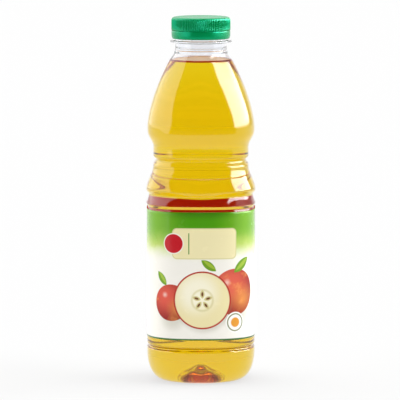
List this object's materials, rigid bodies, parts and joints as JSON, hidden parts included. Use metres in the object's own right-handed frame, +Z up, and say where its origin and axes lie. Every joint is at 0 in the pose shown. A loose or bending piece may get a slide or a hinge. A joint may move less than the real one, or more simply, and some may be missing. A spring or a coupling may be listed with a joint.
{
  "type": "filled juice bottle",
  "caption": "Clear rounded-square plastic juice bottle with a waist, filled with amber juice, wrap-round label, ribbed screw cap and tamper band.",
  "frame": {"origin": "on the surface the bottle stands on, at the middle of the base", "axes": "+Z up along the bottle, -Y towards the label's front, +X to the right of someone facing the front"},
  "size_m": [0.0776, 0.0776, 0.2578],
  "materials": {
    "clear_plastic": "clear blow-moulded plastic, glossy",
    "juice": "clear amber liquid",
    "label_film": "glossy printed film",
    "cap_plastic": "moulded plastic, satin"
  },
  "bodies": {
    "root": {"bottle": "clear_plastic", "juice": "juice", "label": "label_film", "cap": "cap_plastic", "tamper_band": "cap_plastic"}
  },
  "joints": []
}
